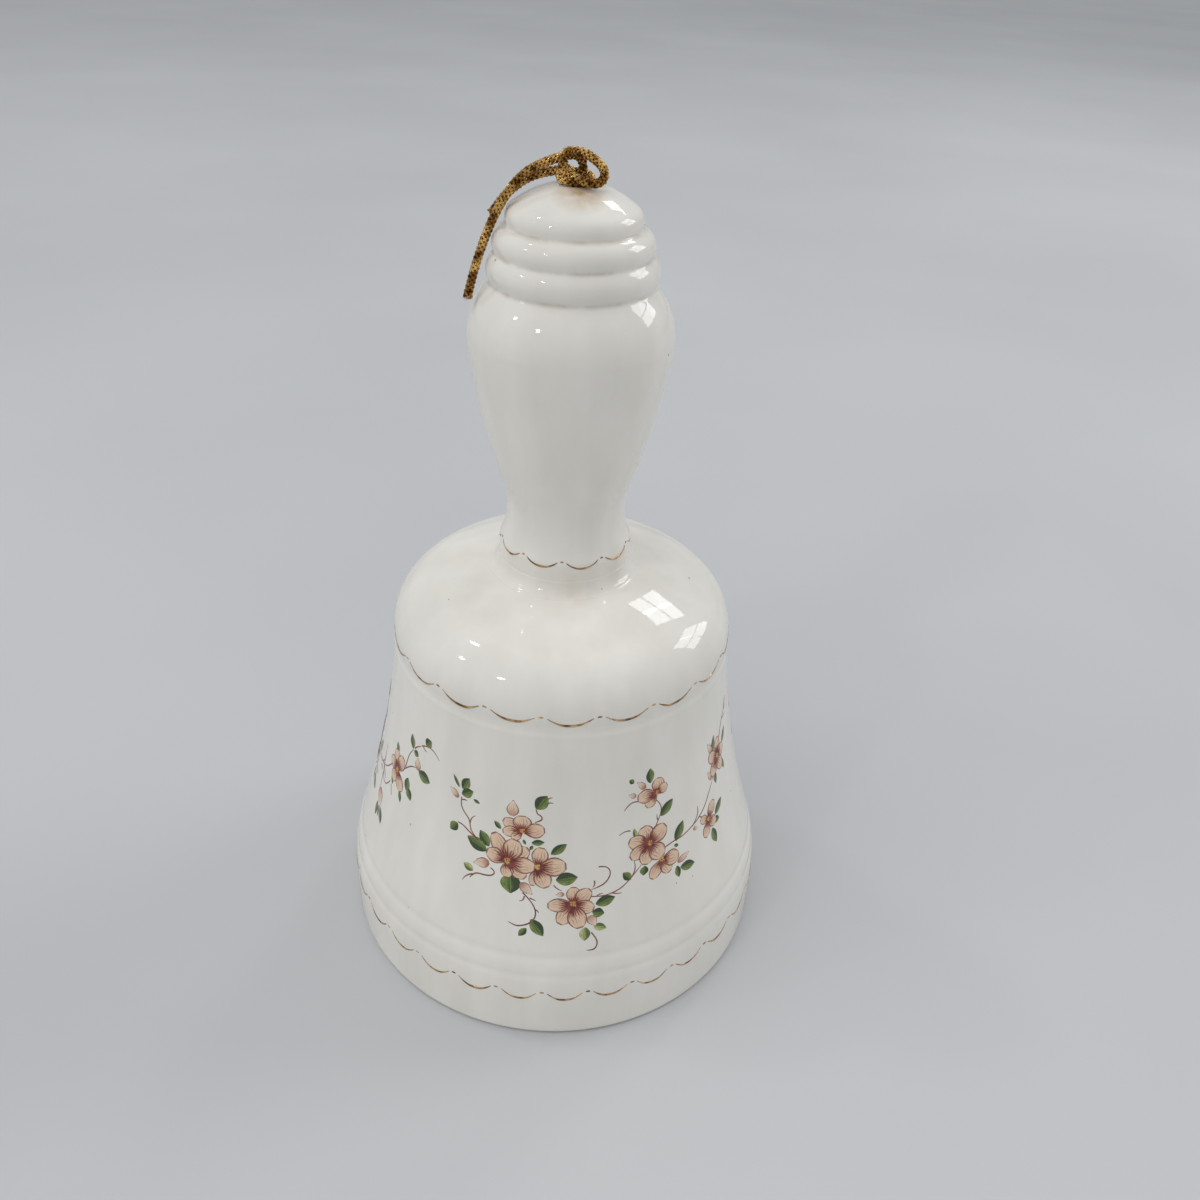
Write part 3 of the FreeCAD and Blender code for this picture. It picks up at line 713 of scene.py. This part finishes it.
SIDE_BUDS = [
    ((-11.0, 14.6), (-13.6, 17.0), 1.9), ((-14.0, 13.0), (-16.2, 14.0), 1.5),
    ((-2.0, -12.0), (2.2, -11.0), 1.9),
    ((4.8, -5.4), (6.8, -6.0), 1.2),
]
SIDE_STEMS = [
    [(-9.2, 0.5), (-7.6, 3.0), (-6.4, 5.0), (-6.0, 7.0), (-6.8, 8.8), (-8.0, 10.2)],
    [(-7.4, 3.6), (-7.8, 4.4), (-7.6, 5.4)],
    [(-10.5, 10.8), (-13.0, 11.2), (-15.0, 11.6), (-16.6, 10.8), (-17.6, 9.6)],
    [(-16.0, 3.2), (-17.6, 3.8), (-19.2, 2.6)],
    [(-5.8, -5.6), (-3.0, -5.0), (0.5, -5.2), (4.0, -4.4), (7.0, -3.6), (10.5, -1.8), (13.5, 1.4),
     (16.2, 4.0)],
    [(4.6, -4.4), (6.6, -3.0), (7.6, -1.2), (7.4, 0.4)],
    [(8.0, -3.4), (9.4, -4.6), (11.0, -5.6)],
]
TIP_FLOWERS = [
    ((19.5, 9.0), [((21.0, 14.6), 4.2), ((24.8, 9.4), 4.2), ((22.4, 3.8), 4.0), ((15.6, 4.8), 4.2),
                   ((14.6, 11.6), 4.0)]),
    ((11.5, -6.5), [((15.2, -2.4), 3.6), ((15.0, -9.6), 3.4), ((9.4, -11.2), 3.4), ((8.2, -4.6), 2.8)]),
]
TIP_LEAVES = [
    ((17.0, 11.8), (18.6, 16.6), 1.8), ((24.2, 10.4), (27.6, 14.0), 1.8), ((22.8, 6.2), (24.2, 2.0), 1.4),
    ((17.4, 5.4), (17.8, 1.2), 1.6), ((15.2, -7.4), (19.8, -4.8), 2.2), ((14.2, -8.6), (17.0, -9.8), 1.8),
    ((12.8, -10.4), (14.0, -15.6), 2.2),
]
TIP_BUDS = [
    ((15.4, 4.2), (13.6, 7.4), 1.8), ((16.8, 12.0), (14.4, 16.0), 2.0), ((28.4, 19.0), (30.0, 22.4), 1.6),
]
TIP_STEMS = [
    [(16.0, 4.0), (17.4, 6.0), (19.2, 8.4)],
    [(21.6, 12.6), (23.4, 15.6), (26.0, 18.4), (29.4, 20.0)],
    [(25.4, 17.8), (27.0, 17.0), (29.0, 17.6)],
]
SPRIG_FLOWERS = [
    ((0.0, 0.8), [((-2.2, 6.2), 4.2), ((-5.2, 1.6), 3.8), ((2.4, 6.2), 4.2), ((-2.4, -3.8), 3.6),
    ((3.2, -4.2), 4.2)]),
]
SPRIG_LEAVES = [
    ((6.5, 12.2), (5.3, 16.2), 1.9), ((7.0, 12.0), (9.2, 11.4), 1.7), ((11.8, 16.8), (14.0, 18.8), 2.4),
    ((10.0, 7.3), (14.8, 6.4), 2.8), ((5.6, -1.8), (5.8, 2.4), 2.2), ((6.0, -0.4), (8.2, -3.4), 2.2),
    ((2.6, -4.0), (3.8, -7.2), 1.3), ((-2.6, -2.6), (-1.8, -5.4), 1.2), ((-1.0, 5.6), (-2.4, 8.4), 1.6),
    ((-8.4, -17.0), (-8.2, -21.6), 1.5), ((-6.0, -17.0), (-3.6, -20.8), 1.9),
    ((-7.2, -17.4), (-6.4, -20.6), 0.9),
]
SPRIG_BUDS = [((9.6, 7.3), (9.0, 10.8), 2.5), ((-8.8, -12.4), (-6.2, -17.2), 3.6)]
SPRIG_STEMS = [
    [(3.8, 4.6), (4.4, 8.0), (5.4, 10.4), (6.6, 12.0)],
    [(7.2, 12.8), (8.4, 14.2), (9.8, 15.0)],
    [(10.2, 15.4), (11.8, 16.4), (14.0, 16.8), (16.0, 16.2), (17.4, 14.8)],
    [(10.8, 15.8), (11.0, 14.8), (12.4, 14.8)],
    [(3.0, 3.2), (5.0, 5.4), (7.0, 7.0), (8.8, 7.6)],
    [(-3.4, -5.6), (-5.4, -8.8), (-8.0, -9.0), (-9.6, -7.0), (-10.2, -3.0), (-10.0, 2.0)],
    [(-9.4, -7.4), (-9.6, -9.6), (-9.2, -12.4)],
    [(-2.4, -5.8), (-1.8, -7.6), (-1.0, -8.6)],
]
LAYER = 0.012


def flower(middle, petals, patch):
    """A blossom: overlapping petals, inked throat and a ring of stamens."""
    pieces = []
    for order, (tip, width) in enumerate(petals):
        pieces.append(drawn(PETAL_BLADE, middle, tip, width, PETAL, patch, 0.03 + LAYER * order))
    lift = 0.035 + LAYER * len(petals)
    reach = sum(math.dist(middle, tip) for tip, width in petals) / len(petals)
    for tip, width in petals:
        along = [middle[axis] + (tip[axis] - middle[axis]) * chance.uniform(0.34, 0.6) for axis in (0, 1)]
        for side in (-0.5, -0.24, 0.02, 0.26, 0.5):
            swing = [along[0] - (tip[1] - middle[1]) * side * 0.5,
                     along[1] + (tip[0] - middle[0]) * side * 0.5]
            pieces.append(stroked([middle, [(a + b) / 2 for a, b in zip(middle, swing)], swing],
                                  (1.8, 1.3, 0.25), 0.024 * reach, THROAT_INK, patch, lift))
    for number in range(7):
        turn = 2 * math.pi * number / 7
        off = reach * (0.0 if number == 0 else chance.uniform(0.05, 0.12))
        spot = (middle[0] + off * math.cos(turn), middle[1] + off * math.sin(turn))
        pieces.append(stroked([spot, (spot[0] + 0.12, spot[1] + 0.1), (spot[0] + 0.3, spot[1] + 0.1)],
                              (0.9, 1.2, 0.8), 0.065 * reach, STAMEN, patch, lift + 0.03))
    return pieces


def spray(patch, flowers, leaves, pale_leaves, buds, stems):
    pieces = [stroked(points, [0.75 + 0.35 * chance.random() for _ in points[:-1]] + [0.45], 0.2, STEM, patch)
              for points in stems]
    pieces += [drawn(LEAF_BLADE, *leaf, LEAF, patch, 0.02) for leaf in leaves]
    pieces += [drawn(LEAF_BLADE, *leaf, PALE_LEAF, patch, 0.02) for leaf in pale_leaves]
    for foot, tip, width in buds:
        side = Vector((tip[1] - foot[1], foot[0] - tip[0])) * 0.22
        shorter = Vector(foot) * 0.25 + Vector(tip) * 0.75
        pieces.append(drawn(BUD_BLADE, foot, shorter + side, width * 0.6, PETAL, patch, 0.026))
        pieces.append(drawn(BUD_BLADE, foot, tip, width, PALE_PETAL, patch, 0.038))
    for middle, petals in flowers:
        pieces += flower(middle, petals, patch)
    return pieces


def sealed(piece):
    """Give the printed film its thickness, down into the glaze."""
    bpy.ops.object.select_all(action="DESELECT")
    piece.select_set(True)
    bpy.context.view_layer.objects.active = piece
    film = piece.modifiers.new("film", "SOLIDIFY")
    film.thickness = 0.05 * MM
    film.offset = -1.0
    bpy.ops.object.modifier_apply(modifier=film.name)
    bpy.ops.object.shade_smooth_by_angle(angle=math.radians(40))
    bpy.ops.object.select_all(action="DESELECT")


for number, turn in enumerate((0, 120, -120)):
    pieces = spray((turn - 5, 57, 53), MAIN_FLOWERS, MAIN_LEAVES, MAIN_PALE_LEAVES, MAIN_BUDS, MAIN_STEMS)
    pieces += spray((turn + 40, 60, 52), SIDE_FLOWERS, SIDE_LEAVES, SIDE_PALE_LEAVES, SIDE_BUDS, SIDE_STEMS)
    if turn == -120:
        pieces += spray((-60, 62, 49), SPRIG_FLOWERS, SPRIG_LEAVES, [], SPRIG_BUDS, SPRIG_STEMS)
    else:
        pieces += spray((turn + 40, 60, 52), TIP_FLOWERS, TIP_LEAVES, [], TIP_BUDS, TIP_STEMS)
    garland = gathered(f"flower_garland_{number + 1}", pieces, "bell")
    sealed(garland)


# ---------- braided cord
# Routes of the cord outside the finial, in millimetres from the middle of its top: across, away and up.

LONG_TAIL = [
    (-3.0, -0.8, 4.8),
    (-7.4, -1.4, 3.9),
    (-11.3, -2.1, 1.7),
    (-14.3, -2.8, -1.7),
    (-16.8, -3.5, -5.7),
    (-19.0, -4.1, -10.4),
    (-20.9, -4.6, -15.6),
    (-22.5, -5.0, -20.8),
    (-23.3, -5.2, -24.2),
]
SHORT_TAIL = [
    (-3.0, 0.4, 2.4),
    (-6.4, 0.4, 1.8),
    (-9.9, 0.2, 0.8),
    (-13.2, 0.1, -1.4),
    (-16.1, 0.0, -4.1),
    (-18.0, -0.1, -7.2),
]
LOOP = [
    (-1.0, -0.9, 6.5),
    (1.5, -1.4, 6.5),
    (3.9, -2.1, 5.3),
    (5.9, -2.7, 3.7),
    (6.2, -3.8, 1.9),
    (4.8, -5.0, 0.9),
    (2.4, -5.3, 1.1),
    (0.2, -4.4, 1.8),
    (-1.6, -3.0, 2.4),
]
RISER = [(1.3, 0.4, -1.2), (1.5, 0.2, 0.6), (1.6, 0.2, 2.6), (1.2, 0.4, 4.8), (-0.6, 0.4, 5.9)]
WRAP = [(-1.8, -2.2, 0.6), (-2.7, -2.9, 2.4), (-2.8, -2.9, 4.6), (-2.4, -2.2, 6.4)]
UNDER = [(-1.6, -1.2, 3.0)]
KNOT_TURN = [(-2.0, -0.6, 3.2), (-3.6, -1.6, 2.2), (-3.2, -3.2, 1.1), (-0.4, -4.0, 0.8), (2.2, -3.0, 0.9),
             (3.4, -0.6, 1.1), (2.8, 2.0, 1.3), (0.4, 3.2, 1.5), (-2.4, 2.6, 1.8), (-3.6, 0.6, 2.4),
             (-2.6, -0.8, 3.8)]
PITCH = 4.3                                        # along the cord for one turn of a thread
THREADS = 4                                        # each way round
THREAD_SEAT = 0.68
THREAD_RISE = 0.16
THREAD_HALF_WIDTH = 0.3
THREAD_HALF_DEPTH = 0.25
RING = 6
DARK_PLACES = ((1, 1),)                            # (way round, place) of each dark thread


def line_of(name, points, base):
    """The points that a cord's NURBS spline goes through, in metres."""
    curve = spline_object(name, points, base=base)
    mesh = bpy.data.meshes.new_from_object(curve)
    bpy.data.objects.remove(curve)
    line = np.array([vertex.co for vertex in mesh.vertices])
    bpy.data.meshes.remove(mesh)
    return line


def length_along(line):
    return np.concatenate([[0.0], np.cumsum(np.linalg.norm(np.diff(line, axis=0), axis=1))])


def carried(line):
    """Directions along, across and out of a line, carried along it without twisting."""
    along = np.gradient(line, axis=0)
    along /= np.linalg.norm(along, axis=1)[:, None]
    across = np.zeros_like(line)
    side = np.cross(along[0], (0.0, 1.0, 0.0))
    if np.linalg.norm(side) < 0.1:
        side = np.cross(along[0], (1.0, 0.0, 0.0))
    for number, way in enumerate(along):
        side = side - way * side.dot(way)
        side = side / np.linalg.norm(side)
        across[number] = side
    return along, across, np.cross(along, across)


class Threads:
    """Collects tubes as one mesh, each with its UV round and along it and its material."""

    def __init__(self):
        self.places, self.faces, self.rounds, self.slots = [], [], [], []

    def tube(self, rings, run, slot):
        """Rings of points, joined into a closed tube."""
        count, sides = rings.shape[:2]
        first = len(self.places)
        self.places += rings.reshape(-1, 3).tolist()
        for step in range(count - 1):
            for side in range(sides):
                after = (side + 1) % sides
                low, high = first + step * sides, first + (step + 1) * sides
                self.faces.append((low + side, low + after, high + after, high + side))
                self.rounds += [(side / sides, run[step]), ((side + 1) / sides, run[step]),
                                ((side + 1) / sides, run[step + 1]), (side / sides, run[step + 1])]
                self.slots.append(slot)
        last = first + (count - 1) * sides
        for cap in (range(first + sides - 1, first - 1, -1), range(last, last + sides)):
            self.faces.append(tuple(cap))
            self.rounds += [(0.5, run[0])] * sides
            self.slots.append(slot)

    def piece(self, name, materials):
        mesh = bpy.data.meshes.new(name)
        mesh.from_pydata(self.places, [], self.faces)
        layer = mesh.uv_layers.new(name="UVMap")
        layer.data.foreach_set("uv", np.array(self.rounds).ravel())
        mesh.polygons.foreach_set("material_index", self.slots)
        mesh.polygons.foreach_set("use_smooth", [True] * len(self.faces))
        for material in materials:
            mesh.materials.append(material)
        mesh.update()
        piece = bpy.data.objects.new(name, mesh)
        bpy.context.scene.collection.objects.link(piece)
        return piece


def braided(name, line, per_turn=20, frayed_end=False):
    """Plait eight flat threads, four each way round, over a soft core along a line."""
    full = length_along(line)
    count = max(8, round(full[-1] / MM / PITCH * per_turn))
    run = np.linspace(0, full[-1], count)
    centre = np.stack([np.interp(run, full, line[:, axis]) for axis in range(3)], 1)
    along, across, out = carried(centre)
    run = run / MM
    open_end = np.clip((run - run[-1] + 2.2) / 2.2, 0, 1) ** 2 if frayed_end else np.zeros(count)
    threads = Threads()
    sides = np.arange(RING) * 2 * math.pi / RING
    for way in (1, -1):
        for place in range(THREADS):
            angle = 2 * math.pi * (place / THREADS + way * run / PITCH)
            radius = THREAD_SEAT + way * THREAD_RISE * np.cos(THREADS * 2 * math.pi * run / PITCH)
            radius = radius + open_end * chance.uniform(0.0, 0.35)
            outward = np.cos(angle)[:, None] * across + np.sin(angle)[:, None] * out
            path = centre + radius[:, None] * MM * outward
            heading = np.gradient(path, axis=0)
            heading /= np.linalg.norm(heading, axis=1)[:, None]
            flat = np.cross(heading, outward)
            flat /= np.linalg.norm(flat, axis=1)[:, None]
            wide = THREAD_HALF_WIDTH * np.cos(sides)[None, :, None] * flat[:, None]
            deep = THREAD_HALF_DEPTH * np.sin(sides)[None, :, None] * outward[:, None]
            rings = path[:, None] + MM * (wide + deep)
            threads.tube(rings, run, 1 if (way, place) in DARK_PLACES else 0)
    # The core's black-brown is painted shade, seen in the gaps between the threads.
    eight = np.arange(8) * math.pi / 4
    core = centre[:, None] + 0.6 * MM * (np.cos(eight)[None, :, None] * across[:, None]
                                         + np.sin(eight)[None, :, None] * out[:, None])
    threads.tube(core[:, ::-1], run, 2)
    return threads.piece(name, (GOLD_THREAD, DARK_THREAD, CORE_SHADE)), centre


def fray(name, line, strands, reach):
    """Loose ends of thread where the braid was cut: short tapering fibres that fan out."""
    threads = Threads()
    tip = line[-1]
    way = (line[-1] - line[-6]) / np.linalg.norm(line[-1] - line[-6])
    across = np.cross(way, (0.0, 1.0, 0.0))
    across /= np.linalg.norm(across)
    out = np.cross(way, across)
    for number in range(strands):
        turn = 2 * math.pi * (number + chance.random()) / strands
        outward = math.cos(turn) * across + math.sin(turn) * out
        length = reach * chance.uniform(0.45, 1.0)
        start = tip - way * 0.9 * MM + outward * chance.uniform(0.2, 0.85) * MM
        spread = chance.uniform(0.05, 0.4)
        rings = []
        for step in range(5):
            share = step / 4
            middle = start + MM * (way * length * share + outward * length * spread * share ** 2)
            size = MM * (0.13 - 0.08 * share)
            rings.append([middle + size * (math.cos(part) * across + math.sin(part) * out)
                          for part in (0.0, 2.09, 4.19)])
        threads.tube(np.array(rings), [length * step / 4 for step in range(5)], number % 3 == 0)
    return threads.piece(name, (GOLD_THREAD, DARK_THREAD))


def braid_on(body, piece):
    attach(piece, body)
    return piece


finial_top = (0.0, 0.0, TOP)
long_line = line_of("long_tail_route", RISER + LONG_TAIL[1:], finial_top)
cord_long, long_path = braided("cord_long_tail_braid", long_line, frayed_end=True)
braid_on("bell", cord_long)
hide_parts("cord_long_tail")
long_fray = braid_on("bell", fray("long_tail_cut_end", long_line, 18, 1.7))

loop_line = line_of("loop_route", WRAP + LOOP + UNDER + SHORT_TAIL, finial_top)
cord_loop, loop_path = braided("cord_loop_and_short_tail_braid", loop_line, frayed_end=True)
braid_on("bell", cord_loop)
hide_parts("cord_loop", "cord_short_tail")
short_fray = braid_on("bell", fray("short_tail_cut_end", loop_line, 12, 1.0))

knot_line = line_of("knot_route", KNOT_TURN, finial_top)
knot_turn, _ = braided("cord_knot_turn_braid", knot_line)
braid_on("bell", knot_turn)
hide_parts("top_knot")

for side, name in ((-1, "left"), (1, "right")):
    reach = side * STRAND_OFFSET
    hanging = line_of("strand_route", [
        (reach, 0.0, TOP - 2.8), (reach, 0.1, TOP - 20), (reach, -0.15, TOP - 45), (reach, 0.1, SWING + 14),
        (reach, 0.0, SWING), (reach, -0.1, SWING - 14), (reach, 0.15, 70), (reach, 0.0, CLAPPER_HEAD + 6),
        (reach, 0.0, CLAPPER_FOOT + 3), (reach, 0.0, CLAPPER_FOOT - 4),
        (reach * 1.15, side * 0.3, CLAPPER_FOOT - 7), (reach * 1.8, side * 0.9, CLAPPER_FOOT - 10),
        (reach * 2.2, side * 1.3, CLAPPER_FOOT - 12),
    ], (0.0, 0.0, 0.0))
    strand, strand_path = braided(f"clapper_strand_{name}", hanging, per_turn=14, frayed_end=True)
    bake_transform(strand)
    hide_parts(f"upper_strand_{name}", f"lower_strand_{name}")
    strand_fray = braid_on("clapper", fray(f"clapper_strand_{name}_cut_end", hanging, 14, 1.8))

COIL_RADIUS = 3.0
COIL_TURNS = 2.25
coil = [(COIL_RADIUS * math.cos(2 * math.pi * step / 12), COIL_RADIUS * math.sin(2 * math.pi * step / 12),
         CLAPPER_FOOT - 1.3 - 2.15 * step / 12) for step in range(round(12 * COIL_TURNS) + 1)]
stop_line = line_of("stop_knot_route", coil, (0.0, 0.0, 0.0))
stop_turns, _ = braided("clapper_stop_knot_braid", stop_line, per_turn=18)
braid_on("clapper", stop_turns)
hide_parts("stop_knot")


# ---------- floor, light and camera

def matt_floor():
    """Pale sealed board, rolled matt: an even grey with a faint cloudiness."""
    material, tree = new_material("pale_matt_board")
    place = add(tree, "TexCoord", output="Object")
    cloud = add(tree, "TexNoise", {"Vector": place, "Scale": per_mm(420), "Detail": 3.0})
    colour = add(tree, "ValToRGB", {0: cloud}, stops=((0.35, "#C3C4C6"), (0.7, "#CBCCCD")))
    grit = add(tree, "TexNoise", {"Vector": place, "Scale": per_mm(2), "Detail": 2.0})
    relief = add(tree, "Bump", {"Height": grit, "Distance": 0.02 * MM, "Strength": 0.3})
    shader = add(tree, "BsdfPrincipled", {"Base Color": colour, "Roughness": 0.62, "Normal": relief})
    add(tree, "OutputMaterial", {"Surface": shader})
    return material


bpy.ops.mesh.primitive_plane_add(size=18, location=(0, 0, 0))
floor = bpy.context.object
floor.name = "floor"
floor.data.materials.append(matt_floor())

world = bpy.data.worlds.new("room")
bpy.context.scene.world = world
world.use_nodes = True
sky = world.node_tree
sky.nodes.clear()
add(sky, "OutputWorld", {"Surface": add(sky, "Background", {"Color": "#E9ECF0", "Strength": 0.62})})


def lamp(name, azimuth, elevation, distance, width, height, power, colour="#FFFFFF"):
    """A soft rectangular lamp that faces the bell's middle; azimuth turns from the viewer to the right."""
    turn, rise = math.radians(azimuth), math.radians(elevation)
    target = Vector((0, 0, 0.12))
    place = target + distance * Vector((math.sin(turn) * math.cos(rise), -math.cos(turn) * math.cos(rise),
                                        math.sin(rise)))
    data = bpy.data.lights.new(name, "AREA")
    data.shape = "RECTANGLE"
    data.size = width
    data.size_y = height
    data.energy = power
    data.color = linear(colour)[:3]
    light = bpy.data.objects.new(name, data)
    bpy.context.scene.collection.objects.link(light)
    light.location = place
    light.rotation_euler = (target - place).to_track_quat("-Z", "Y").to_euler()
    return light


lamp("ceiling_softbox", -60, 62, 2.2, 2.2, 1.7, 14).visible_glossy = False
for name, azimuth, elevation, spread, power in (
    ("side_window", 110, 28, 6.4, 2.8),
    ("roof_window", 146, 44, 3.0, 0.75),
):
    for column in (-1, 1):
        for row in (-1, 1):
            lamp(f"{name}_pane", azimuth + column * spread, elevation + row * spread, 2.4,
                 0.075 * spread, 0.075 * spread, power)
for azimuth, elevation, power in ((-41, 33, 2.6), (-112, 58, 2.2), (-76, 34, 1.2)):
    lamp("small_lamp", azimuth, elevation, 2.4, 0.17, 0.15, power)

CAMERA_PLACE = (0.0, -0.2415, 0.2632)
LOOK_DOWN = 33.49
LOOK_RIGHT = 2.37
CAMERA_ROLL = -3.04
LENS = 32.1

camera_data = bpy.data.cameras.new("camera")
camera_data.lens = LENS
camera_data.sensor_width = 36
camera_data.clip_start = 0.01
camera = bpy.data.objects.new("camera", camera_data)
bpy.context.scene.collection.objects.link(camera)
camera.matrix_world = (Matrix.Translation(CAMERA_PLACE)
                       @ Matrix.Rotation(math.radians(-LOOK_RIGHT), 4, "Z")
                       @ Matrix.Rotation(math.radians(90 - LOOK_DOWN), 4, "X")
                       @ Matrix.Rotation(math.radians(-CAMERA_ROLL), 4, "Z"))
bpy.context.scene.camera = camera
bpy.context.scene.view_settings.view_transform = "Standard"
